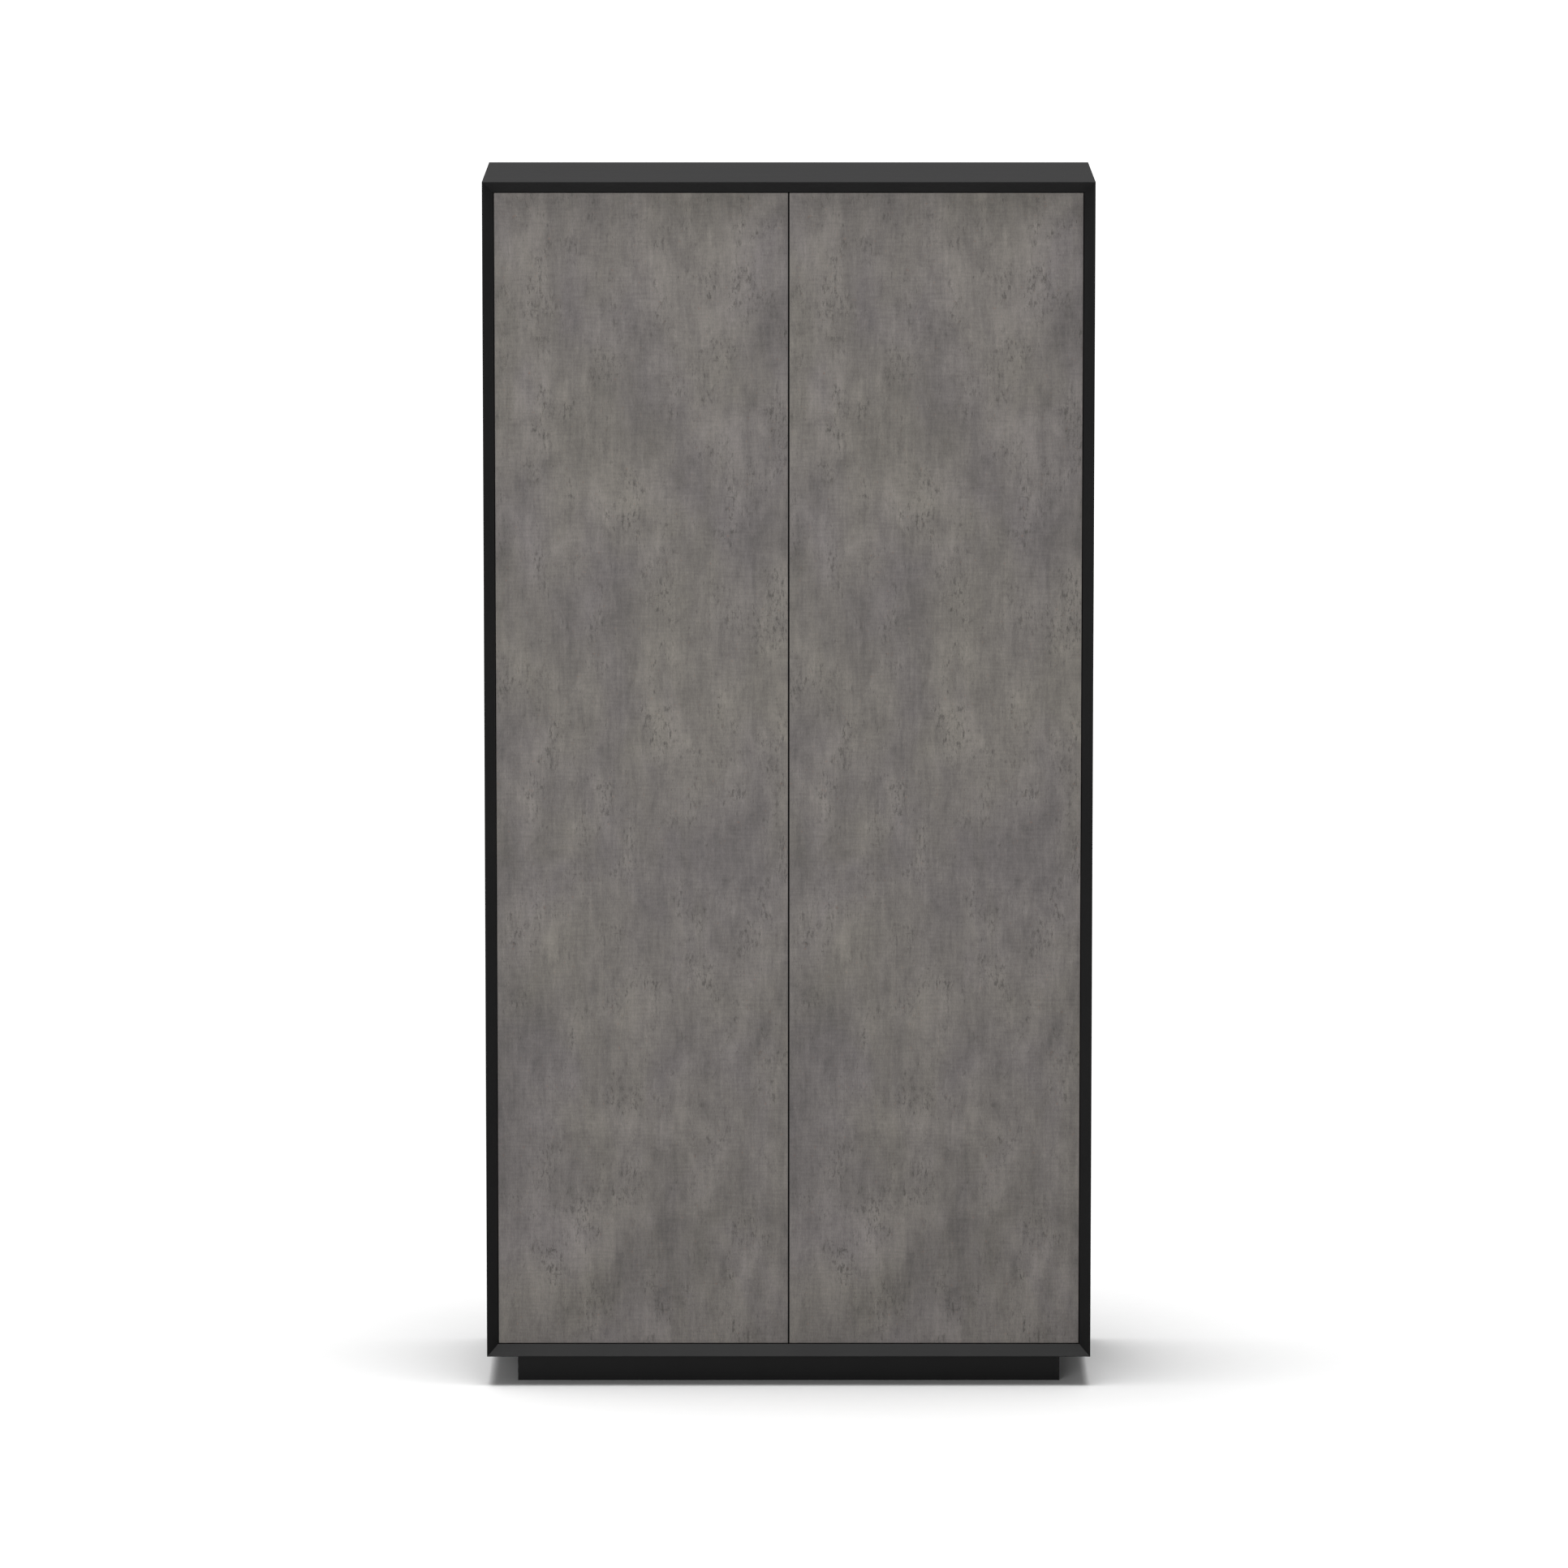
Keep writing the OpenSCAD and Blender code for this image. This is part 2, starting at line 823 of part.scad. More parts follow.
module right_outer_levers() {
    color(steel) mirrored() at_left_hinges() outer_lever();
}

module left_inner_levers() {
    color(steel) at_left_hinges() inner_lever();
}

module right_inner_levers() {
    color(steel) mirrored() at_left_hinges() inner_lever();
}

// ---------- hinge arm and mounting plate ----------

// Outline of the arm in the hinge frame: nose in the cup, crank, then along the plate
arm_outline = [
    [29.6, 26.4], [37.4, 26.4], [37.4, 41], [29.4, 52], [18, 60], [14.5, 64], [14.5, 104],
    [4, 104], [4, 62], [12, 56], [22, 48], [28.6, 39]
];
arm_channel = [
    [28, 25], [36.3, 25], [36.3, 40.7], [28.6, 51.1], [17.1, 59.1], [13.2, 63.6], [13.2, 105],
    [3, 105], [3, 61], [11, 55], [21, 47], [27.5, 38]
];
arm_screw_v = [72, 92];

module hinge_arm() {
    difference() {
        translate([0, 0, -wall_out]) linear_extrude(2 * wall_out) polygon(arm_outline);
        translate([0, 0, -wall_in]) linear_extrude(2 * wall_in) polygon(arm_channel);
    }
    for (v = arm_screw_v) rod([14.5, v, 0], 3, 1.6, "x");
}

module left_hinge_arms() {
    color(steel) at_left_hinges() hinge_arm();
}

module right_hinge_arms() {
    color(steel) mirrored() at_left_hinges() hinge_arm();
}

// Saddle under the arm and two wings with a screw each
module hinge_plate() {
    difference() {
        union() {
            translate([0, 60, -3.8]) cube([13.2, 43, 7.6]);
            translate([0, plate_v - 8, -16]) cube([2.5, 16, 32]);
            both_sides_z(16) rod([0, plate_v, 0], 8, 2.5, "x");
        }
        both_sides_z(plate_screw_z) rod([-1, plate_v, 0], plate_screw_r + 0.1, 5, "x");
    }
}

module left_hinge_plates() {
    color(zinc) at_left_hinges() hinge_plate();
}

module right_hinge_plates() {
    color(zinc) mirrored() at_left_hinges() hinge_plate();
}

module plate_screws() {
    at_left_hinges() both_sides_z(plate_screw_z) {
        rod_x(0.5 - plate_screw_depth, 2.5, plate_v, 0, plate_screw_r);
        rod_x(2.5, 4.3, plate_v, 0, 4);
    }
}

module left_plate_screws() {
    color(zinc) plate_screws();
}

module right_plate_screws() {
    color(zinc) mirrored() plate_screws();
}

// ---------- push latches ----------

module latch_screw_holes() {
    for (v = latch_screw_v) rod_x(-board / 2, -board / 2 + 7, front_y + v, latch_z, 1.2);
}

module latch_housing() {
    difference() {
        translate([-latch_x - latch_w / 2, front_y + latch_front, latch_z - latch_h / 2])
            cube([latch_w, latch_length, latch_h]);
        rod([-latch_x, front_y + latch_front - 1, latch_z], plunger_bore_r, 62, "y");
        for (v = latch_screw_v)
            rod_x(-latch_x - latch_w / 2 - 1, -board / 2 + 1, front_y + v, latch_z, 1.4);
    }
}

module latch_housings() {
    color(grey_plastic) {
        latch_housing();
        mirrored() latch_housing();
    }
}

module latch_screw_pair() {
    outside = -latch_x - latch_w / 2;
    for (v = latch_screw_v) {
        rod_x(outside - 1, -board / 2 + 6, front_y + v, latch_z, 1.2);
        rod_x(outside - 1, outside, front_y + v, latch_z, 2.6);
    }
}

module latch_screws() {
    color(zinc) {
        latch_screw_pair();
        mirrored() latch_screw_pair();
    }
}

module plunger() {
    rod([-latch_x, front_y + tip_front + tip_t, latch_z], plunger_r, plunger_length, "y");
}

module plunger_tip() {
    rod([-latch_x, front_y + tip_front, latch_z], plunger_r - 0.4, tip_t, "y");
}

module left_plunger() {
    color(steel) plunger();
}

module right_plunger() {
    color(steel) mirrored() plunger();
}

module left_plunger_tip() {
    color(grey_plastic) plunger_tip();
}

module right_plunger_tip() {
    color(grey_plastic) mirrored() plunger_tip();
}

// ---------- nodes ----------

left_side();
right_side();
top_panel();
bottom_panel();
back_panel();
centre_partition();
hat_shelf();
shelf_1();
shelf_2();
shelf_3();
shelf_4();
shelf_pins();
cam_locks();
cam_bolts();
corner_dowels();
partition_dowels();
plinth_front();
plinth_back_rail();
plinth_left();
plinth_right();
plinth_brace();
plinth_brackets();
plinth_screws();
clothes_rail();
rail_end_caps();
rail_brackets();
rail_screws();
wall_brackets();
wall_bracket_screws();
latch_housings();
latch_screws();
left_hinge_plates();
right_hinge_plates();
left_hinge_arms();
right_hinge_arms();
left_plate_screws();
right_plate_screws();
left_door();
right_door();
left_hinge_cups();
right_hinge_cups();
left_cup_screws();
right_cup_screws();
left_catch_plate();
right_catch_plate();
left_outer_levers();
right_outer_levers();
left_inner_levers();
right_inner_levers();
left_plunger();
right_plunger();
left_plunger_tip();
right_plunger_tip();
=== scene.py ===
"""Looks of a two-door wardrobe: stone-grey doors in a black bevelled carcase, with its fittings."""

import bmesh
import bpy
import numpy as np
from bpy.props import FloatProperty, FloatVectorProperty, IntProperty, PointerProperty
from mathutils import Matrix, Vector
from mathutils.geometry import delaunay_2d_cdt


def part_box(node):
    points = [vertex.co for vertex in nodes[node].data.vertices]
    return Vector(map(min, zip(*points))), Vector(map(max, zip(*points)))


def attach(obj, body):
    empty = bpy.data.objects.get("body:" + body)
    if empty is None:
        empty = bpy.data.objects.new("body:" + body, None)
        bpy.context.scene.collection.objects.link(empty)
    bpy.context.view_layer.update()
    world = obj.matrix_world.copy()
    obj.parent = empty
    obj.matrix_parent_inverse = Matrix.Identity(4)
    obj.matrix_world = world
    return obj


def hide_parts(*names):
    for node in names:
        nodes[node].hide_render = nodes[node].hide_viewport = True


bl_info = {
    "name": "Two-door wardrobe",
    "version": (1, 0, 0),
    "blender": (4, 5, 0),
    "location": "View3D > Sidebar > Wardrobe",
    "description": "Dresses the wardrobe's boards, doors, hinges and rail, and sets its studio",
    "category": "Object",
}

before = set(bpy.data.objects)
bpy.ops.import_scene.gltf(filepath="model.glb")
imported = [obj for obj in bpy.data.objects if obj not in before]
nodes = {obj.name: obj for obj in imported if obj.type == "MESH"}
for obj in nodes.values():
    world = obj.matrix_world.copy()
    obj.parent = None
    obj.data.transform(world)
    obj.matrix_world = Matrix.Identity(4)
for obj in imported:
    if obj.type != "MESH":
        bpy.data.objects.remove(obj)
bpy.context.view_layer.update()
SIDES = ("left", "right")
finishes = {}

# Sizes of the fittings, in metres
CUP_BORE_RADIUS = 0.0175
CUP_FLANGE_REACH = 0.019  # from the middle of a cup to the far side of its flange
RAIL_WALL = 0.0012
SMALL_SCREW = {"head_radius": 0.0036, "head_height": 0.0012, "shank_radius": 0.00175}
PLATE_SCREW = {"head_radius": 0.0040, "head_height": 0.0018, "shank_radius": 0.0025}

# Rounding of the fittings' edges, in metres, and the angle past which an edge is a sharp one
STAMPED_EDGE = 0.00015
SHEET_EDGE = 0.0003
CAST_EDGE = 0.0004
PIN_EDGE = 0.0005
PLASTIC_EDGE = 0.0006
HOUSING_EDGE = 0.0010
SHARP_ANGLE = np.radians(32)
MERGE_DISTANCE = 1e-6


# ---------- meshes ----------


def place_mesh(name, verts, faces, materials, smooth=False, sharp_degrees=30.0, material_index=None):
    """An object at the origin from computed points and faces, its doubles merged and its faces outwards."""
    mesh = bpy.data.meshes.new(name)
    mesh.from_pydata(np.asarray(verts, float).tolist(), [], [tuple(map(int, f)) for f in faces])
    if material_index is not None:
        mesh.polygons.foreach_set("material_index", np.asarray(material_index, np.int32))
    work = bmesh.new()
    work.from_mesh(mesh)
    bmesh.ops.remove_doubles(work, verts=work.verts, dist=MERGE_DISTANCE)
    bmesh.ops.dissolve_degenerate(work, edges=work.edges, dist=1e-7)
    bmesh.ops.recalc_face_normals(work, faces=work.faces)
    work.to_mesh(mesh)
    work.free()
    mesh.polygons.foreach_set("use_smooth", np.full(len(mesh.polygons), smooth))
    if smooth:
        mesh.set_sharp_from_angle(angle=np.radians(sharp_degrees))
    for material in materials:
        mesh.materials.append(material)
    piece = bpy.data.objects.new(name, mesh)
    bpy.context.scene.collection.objects.link(piece)
    return piece


def grid_faces(rows, columns, start=0):
    """Quads between neighbouring rows and columns of a grid whose last column joins the first."""
    i, j = np.meshgrid(np.arange(rows - 1), np.arange(columns), indexing="ij")
    k = (j + 1) % columns
    quads = np.stack([i * columns + j, i * columns + k, (i + 1) * columns + k, (i + 1) * columns + j], -1)
    return quads.reshape(-1, 4) + start


def turned(profile, steps):
    """A profile of (radius, height) turned about Z: each point is (r cos a, r sin a, h)."""
    profile = np.asarray(profile, float)
    angle = np.linspace(0, 2 * np.pi, steps, endpoint=False)
    r, h = profile[:, 0, None], profile[:, 1, None]
    points = np.stack([r * np.cos(angle), r * np.sin(angle), h + 0 * angle], -1)
    return points.reshape(-1, 3), grid_faces(len(profile), steps)


def copies(verts, faces, places, frames):
    """The same mesh at each place, its own axes laid along the three columns of each frame."""
    places, frames = np.asarray(places, float), np.asarray(frames, float)
    all_verts = np.einsum("nij,vj->nvi", frames, verts) + places[:, None, :]
    shifts = np.arange(len(places)) * len(verts)
    all_faces = [tuple(f) for shift in shifts for f in (np.asarray(faces) + shift)]
    return all_verts.reshape(-1, 3), all_faces


def islands(node):
    """The box of each separate solid in a CAD node, as arrays of lowest and highest corners.

    Points in one place share a number, and each triangle passes its lowest number on until none changes.
    """
    mesh = nodes[node].data
    co = np.zeros(len(mesh.vertices) * 3)
    mesh.vertices.foreach_get("co", co)
    co = co.reshape(-1, 3)
    mesh.calc_loop_triangles()
    tri = np.zeros(len(mesh.loop_triangles) * 3, np.int32)
    mesh.loop_triangles.foreach_get("vertices", tri)
    _, same = np.unique(np.round(co * 1e5).astype(np.int64), axis=0, return_inverse=True)
    same = same.ravel()
    tri = same[tri.reshape(-1, 3)]
    label = np.arange(same.max() + 1)
    while True:
        lowest = label[tri].min(1)
        new = label.copy()
        np.minimum.at(new, tri.ravel(), np.repeat(lowest, 3))
        if np.array_equal(new, label):
            break
        label = new
    keys, which = np.unique(label[same], return_inverse=True)
    low = np.full((len(keys), 3), np.inf)
    high = np.full((len(keys), 3), -np.inf)
    np.minimum.at(low, which.ravel(), co)
    np.maximum.at(high, which.ravel(), co)
    return low, high


def dress(names, material):
    """Gives CAD nodes their finish."""
    for name in names:
        piece = nodes[name]
        piece.data.materials.clear()
        piece.data.materials.append(material)


def soften(names, body, material, radius):
    """Merged copies of CAD nodes, their flat faces joined and their edges rounded to the radius.

    Only faces that meet a neighbour at a slight angle belong to a curve, and only those are shaded smooth.
    """
    for name in names:
        mesh = nodes[name].data.copy()
        work = bmesh.new()
        work.from_mesh(mesh)
        bmesh.ops.remove_doubles(work, verts=work.verts, dist=MERGE_DISTANCE)
        bmesh.ops.dissolve_limit(work, angle_limit=np.radians(0.5), verts=work.verts, edges=work.edges)
        for face in work.faces:
            face.smooth = any(0.01 < edge.calc_face_angle(0.0) < SHARP_ANGLE for edge in face.edges)
        work.to_mesh(mesh)
        work.free()
        mesh.materials.clear()
        mesh.materials.append(material)
        piece = bpy.data.objects.new(f"{name}_finished", mesh)
        bpy.context.scene.collection.objects.link(piece)
        rounding = piece.modifiers.new("rounded_edges", "BEVEL")
        rounding.width, rounding.segments = radius, 2
        rounding.limit_method, rounding.angle_limit = "ANGLE", SHARP_ANGLE
        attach(piece, body)
        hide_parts(name)


# ---------- finishes ----------

# The colour sockets of a Mix node, whose names are shared with its number sockets
MIX_FACTOR, MIX_A, MIX_B, MIX_COLOUR = 0, 6, 7, 2


def shade(colour, factor):
    """A colour made darker or lighter by a factor."""
    return tuple(c * factor for c in colour)


def with_alpha(colour):
    """A plain colour with full alpha; a socket is passed on as it is."""
    return (*colour, 1.0) if isinstance(colour, tuple) and len(colour) == 3 else colour


class Finish:
    """A material with a Principled shader, and short words for the nodes that feed it."""

    def __init__(self, name, **sockets):
        self.material = bpy.data.materials.new(name)
        self.material.use_nodes = True
        self.tree = self.material.node_tree
        self.tree.nodes.clear()
        self.shader = self.node("ShaderNodeBsdfPrincipled")
        out = self.node("ShaderNodeOutputMaterial")
        self.tree.links.new(self.shader.outputs[0], out.inputs[0])
        for socket, value in sockets.items():
            self.shader.inputs[socket.replace("_", " ")].default_value = value

    def node(self, kind, settings=None, **inputs):
        """Adds a node with its settings; each named input takes a socket or a plain value."""
        made = self.tree.nodes.new(kind)
        for key, value in (settings or {}).items():
            setattr(made, key, value)
        for key, value in inputs.items():
            self.feed(made.inputs[key.replace("_", " ")], value)
        return made

    def feed(self, socket, value):
        if isinstance(value, bpy.types.NodeSocket):
            self.tree.links.new(value, socket)
        else:
            socket.default_value = value

    def drive(self, socket, value):
        """Feeds one of the shader's own sockets."""
        self.feed(self.shader.inputs[socket], value)

    def coords(self, centre=(0, 0, 0), stretch=(1, 1, 1)):
        """Object coordinates, centred on a point and then stretched."""
        source = self.node("ShaderNodeTexCoord")
        shift = tuple(-c * s for c, s in zip(centre, stretch))
        mapped = self.node("ShaderNodeMapping", Vector=source.outputs["Object"], Location=shift,
                           Scale=stretch)
        return mapped.outputs[0]

    def noise(self, vector, scale, detail, roughness=0.55, distortion=0.0):
        made = self.node("ShaderNodeTexNoise", Vector=vector, Scale=scale, Detail=detail,
                         Roughness=roughness, Distortion=distortion)
        return made.outputs["Fac"]

    def math(self, operation, a, b):
        made = self.node("ShaderNodeMath", {"operation": operation})
        self.feed(made.inputs[0], a)
        self.feed(made.inputs[1], b)
        return made.outputs[0]

    def remap(self, value, low, high, to_low=0.0, to_high=1.0):
        """Takes low..high to to_low..to_high, smoothly and held at the ends."""
        made = self.node("ShaderNodeMapRange", {"interpolation_type": "SMOOTHSTEP"}, Value=value,
                         From_Min=low, From_Max=high, To_Min=to_low, To_Max=to_high)
        return made.outputs[0]

    def ramp(self, value, stops):
        """Colours a value by stops of (place, colour)."""
        made = self.node("ShaderNodeValToRGB", Fac=value)
        elements = made.color_ramp.elements
        while len(elements) < len(stops):
            elements.new(0.5)
        for element, (place, colour) in zip(elements, stops):
            element.position = place
            element.color = (*colour, 1.0)
        return made.outputs[0]

    def mix(self, factor, a, b, blend="MIX"):
        made = self.node("ShaderNodeMix", {"data_type": "RGBA", "blend_type": blend})
        self.feed(made.inputs[MIX_FACTOR], factor)
        self.feed(made.inputs[MIX_A], with_alpha(a))
        self.feed(made.inputs[MIX_B], with_alpha(b))
        return made.outputs[MIX_COLOUR]

    def total(self, *terms):
        """Sum of (value, weight) pairs, each value counted from its middle, 0.5."""
        result = 0.5
        for value, weight in terms:
            centred = self.math("MULTIPLY_ADD", value, weight)
            centred.node.inputs[2].default_value = -0.5 * weight
            result = self.math("ADD", result, centred)
        return result

    def relief(self, height, depth, strength):
        """Bump of the given depth in metres."""
        bump = self.node("ShaderNodeBump", Height=height, Strength=strength, Distance=depth)
        self.drive("Normal", bump.outputs[0])


# Layers of the doors' decor: stretch, then the scale, detail, roughness and distortion of the noise
DECOR_LAYERS = {
    "wide": ((1, 1, 0.75), 5.5, 3, 0.5, 0.4),
    "cloud": ((1, 1, 0.6), 15, 7, 0.70, 0.25),
    "wash": ((1, 1, 0.24), 75, 5, 0.70, 0.3),
    "streak": ((1, 1, 0.09), 230, 4, 0.62, 0.0),
    "hair": ((1, 1, 0.3), 640, 3, 0.65, 0.0),
    "across": ((0.12, 1, 1), 260, 3, 0.6, 0.0),
    "tint": ((1, 1, 0.6), 6.0, 3, 0.55, 0.6),
    "field": ((1, 1, 0.6), 16, 5, 0.74, 0.3),
    "dash": ((1, 1, 0.33), 210, 5, 0.74, 0.0),
    "stray": ((1, 1, 0.25), 330, 3, 0.6, 0.0),
    "rust": ((1, 1, 1), 190, 2, 0.5, 0.0),
}
DECOR_TINTS = [(0.36, (0.985, 0.97, 1.0)), (0.5, (1, 0.99, 0.97)), (0.64, (0.99, 0.985, 0.93))]
SCUFF_COLOUR = (0.036, 0.033, 0.029)
RUST_COLOUR = (0.16, 0.085, 0.06)


def stone_decor(name, centre, look):
    """Concrete-look paper: wide clouds, upright streaks, short dark scuffs and a fine grain.

    The layers' sum picks the grey. Scuffs are dashes that show only inside fields, with a few strays.
    """
    made = Finish(name, Specular_IOR_Level=0.3)
    layer = {key: made.noise(made.coords(centre, stretch), *noise)
             for key, (stretch, *noise) in DECOR_LAYERS.items()}
    tone = made.total((layer["wide"], 0.45 * look.clouds), (layer["cloud"], 0.90 * look.clouds),
                      (layer["wash"], 0.50 * look.streaks), (layer["streak"], 0.38 * look.streaks),
                      (layer["hair"], 0.34), (layer["across"], 0.24))
    colour = made.ramp(tone, [(0.12, tuple(look.dark)), (0.5, tuple(look.middle)), (0.90, tuple(look.light))])
    colour = made.mix(1.0, colour, made.ramp(layer["tint"], DECOR_TINTS), "MULTIPLY")
    field = made.remap(layer["field"], 0.49, 0.63)
    dash = made.math("MAXIMUM", made.remap(layer["dash"], 0.49, 0.62),
                     made.remap(layer["across"], 0.60, 0.70, 0.0, 0.7))
    scuff = made.math("MULTIPLY", made.math("MULTIPLY", field, dash), look.scuffs)
    scuff = made.math("MAXIMUM", scuff, made.remap(layer["stray"], 0.66, 0.74, 0.0, 0.6))
    colour = made.mix(scuff, colour, SCUFF_COLOUR)
    colour = made.mix(made.remap(layer["rust"], 0.70, 0.78, 0.0, 0.35), colour, RUST_COLOUR)
    made.drive("Base Color", colour)
    made.drive("Roughness", made.remap(layer["streak"], 0.3, 0.7, 0.56, 0.68))
    made.relief(made.total((layer["streak"], 0.5), (layer["hair"], 0.4), (scuff, -0.6)), 0.00012, 0.5)
    return made.material


def door_edging(look):
    """Plastic edging of the doors: one dark grey with faint lines along its length. The grey is partly the
    band's own colour and partly painted shade for the gap between the doors.
    """
    made = Finish("door_edging", Specular_IOR_Level=0.4)
    line = made.noise(made.coords(stretch=(1, 1, 0.02)), 900, 2)
    grain = made.noise(made.coords(), 1500, 2)
    # Painted shade: the edging's grey is made dark so that the gap between the doors reads as shaded
    gap_shade_greys = [(0.3, shade(look.middle, 0.22)), (0.7, shade(look.middle, 0.32))]
    made.drive("Base Color", made.ramp(line, gap_shade_greys))
    made.drive("Roughness", made.remap(grain, 0.3, 0.7, 0.42, 0.52))
    made.relief(made.total((line, 0.5), (grain, 0.3)), 0.00004, 0.4)
    return made.material


def black_board(name, look, base, roughness):
    """Black melamine: a fine pearl texture, pale specks, and faint clouds in the colour and the sheen."""
    made = Finish(name, Specular_IOR_Level=look.gloss)
    pearl = made.noise(made.coords(), 1900, 3, 0.6)
    cloud = made.noise(made.coords(), 7, 4, 0.6)
    speck = made.remap(made.noise(made.coords(), 2600, 2, 0.5), 0.64, 0.76)
    colour = made.ramp(cloud, [(0.3, shade(base, 0.90)), (0.7, shade(base, 1.12))])
    colour = made.mix(made.math("MULTIPLY", speck, 0.4), colour, shade(base, 3.0))
    made.drive("Base Color", colour)
    made.drive("Roughness", made.remap(cloud, 0.3, 0.7, roughness - 0.015, roughness + 0.015))
    made.relief(pearl, 0.00005, 0.5)
    return made.material


def fibre_board(look):
    """Thin black fibreboard: fibres felted both ways, and wide patches in the lacquer."""
    made = Finish("black_fibreboard", Specular_IOR_Level=0.25)
    along = made.noise(made.coords(stretch=(1, 1, 0.12)), 420, 4, 0.65, 0.6)
    across = made.noise(made.coords(stretch=(0.12, 1, 1)), 420, 4, 0.65, 0.6)
    felt = made.math("MAXIMUM", along, across)
    patch = made.noise(made.coords(), 6, 4, 0.6)
    tone = made.total((felt, 0.9), (patch, 0.4))
    blacks = [(0.35, shade(look.back, 0.72)), (0.75, shade(look.back, 1.5))]
    made.drive("Base Color", made.ramp(tone, blacks))
    made.drive("Roughness", made.remap(felt, 0.45, 0.7, 0.72, 0.6))
    made.relief(felt, 0.00012, 0.6)
    return made.material


def plated_steel(name, colour, roughness, streak_stretch, mottling):
    """Plated steel: drawn lines along one way, and soft mottling that dulls the plating."""
    made = Finish(name, Metallic=1.0)
    drawn = made.noise(made.coords(stretch=streak_stretch), 1400, 3, 0.6)
    mottle = made.noise(made.coords(), 240, 4, 0.65, 0.4)
    tone = made.total((drawn, 0.35), (mottle, mottling))
    made.drive("Base Color", made.ramp(tone, [(0.3, shade(colour, 0.72)), (0.72, colour)]))
    made.drive("Roughness", made.remap(tone, 0.3, 0.7, roughness + 0.08, roughness - 0.04))
    made.relief(drawn, 0.00002, 0.35)
    return made.material


def moulded_plastic(name, colour, roughness):
    """Moulded plastic: a fine spark-eroded texture and slightly cloudy colour."""
    made = Finish(name, Specular_IOR_Level=0.45)
    spark = made.noise(made.coords(), 2800, 2, 0.5)
    cloud = made.noise(made.coords(), 60, 3, 0.5)
    made.drive("Base Color", made.ramp(cloud, [(0.3, shade(colour, 0.85)), (0.7, colour)]))
    made.drive("Roughness", made.remap(spark, 0.3, 0.7, roughness, roughness + 0.12))
    made.relief(spark, 0.00004, 0.5)
    return made.material


def beech_wood():
    """Beech dowels: pale brown with short dark flecks along the grain."""
    made = Finish("beech_wood", Specular_IOR_Level=0.3)
    grain = made.noise(made.coords(stretch=(1, 1, 0.3)), 500, 4, 0.6, 0.4)
    fleck = made.remap(made.noise(made.coords(stretch=(1, 1, 0.2)), 1400, 2), 0.6, 0.72)
    colour = made.ramp(grain, [(0.3, (0.36, 0.21, 0.10)), (0.7, (0.52, 0.34, 0.18))])
    made.drive("Base Color", made.mix(fleck, colour, (0.20, 0.10, 0.04)))
    made.drive("Roughness", made.remap(grain, 0.3, 0.7, 0.62, 0.74))
    made.relief(grain, 0.00008, 0.5)
    return made.material


# ---------- settings ----------


class DoorSettings(bpy.types.PropertyGroup):
    light: FloatVectorProperty(name="Light grey", description="Palest patches of the doors' decor",
                               default=(0.202, 0.187, 0.174), size=3, subtype="COLOR", min=0, max=1)
    middle: FloatVectorProperty(name="Middle grey", description="Main colour of the doors' decor",
                                default=(0.1135, 0.1045, 0.099), size=3, subtype="COLOR", min=0, max=1)
    dark: FloatVectorProperty(name="Dark grey", description="Darkest clouds of the doors' decor",
                              default=(0.045, 0.0415, 0.040), size=3, subtype="COLOR", min=0, max=1)
    clouds: FloatProperty(name="Clouds", description="Contrast of the wide clouds", default=0.9, min=0, max=2,
                          subtype="FACTOR")
    streaks: FloatProperty(name="Streaks", description="Contrast of the upright streaks", default=0.86, min=0,
                           max=2, subtype="FACTOR")
    scuffs: FloatProperty(name="Scuffs", description="Strength of the short dark scuffs", default=0.75, min=0,
                          max=1, subtype="FACTOR")
    edge_radius: FloatProperty(name="Edge radius", description="Rounding of the doors' edging",
                               default=0.0006, min=0.0001, max=0.003, unit="LENGTH", precision=5)


class BoardSettings(bpy.types.PropertyGroup):
    board: FloatVectorProperty(name="Board", description="Colour of the black boards",
                               default=(0.0074, 0.0074, 0.0075), size=3, subtype="COLOR", min=0, max=1)
    # Painted light: the inside colour is a paler copy of the black board, so the shaded inside of the carcase
    # reads
    inside: FloatVectorProperty(name="Inside", description="Colour of the partition and the shelves",
                                default=(0.016, 0.016, 0.0162), size=3, subtype="COLOR", min=0, max=1)
    back: FloatVectorProperty(name="Back", description="Colour of the back panel",
                              default=(0.010, 0.0098, 0.0095), size=3, subtype="COLOR", min=0, max=1)
    gloss: FloatProperty(name="Sheen", description="Strength of the boards' reflections", default=0.09, min=0,
                         max=1, subtype="FACTOR")
    roughness: FloatProperty(name="Roughness", description="Spread of the boards' reflections", default=0.46,
                             min=0.1, max=1, subtype="FACTOR")
    edge_radius: FloatProperty(name="Edge softness", description="Softening of the boards' edges",
                               default=0.0006, min=0, max=0.003, unit="LENGTH", precision=5)


class MetalSettings(bpy.types.PropertyGroup):
    nickel: FloatVectorProperty(name="Nickel", description="Colour of the hinges", default=(0.80, 0.77, 0.72),
                                size=3, subtype="COLOR", min=0, max=1)
    zinc: FloatVectorProperty(name="Zinc", description="Colour of screws and brackets",
                              default=(0.66, 0.67, 0.69), size=3, subtype="COLOR", min=0, max=1)
    chrome: FloatVectorProperty(name="Chrome", description="Colour of the clothes rail",
                                default=(0.85, 0.86, 0.88), size=3, subtype="COLOR", min=0, max=1)
    round_steps: IntProperty(name="Round steps", description="Sides of a turned piece", default=32, min=16,
                             max=96)


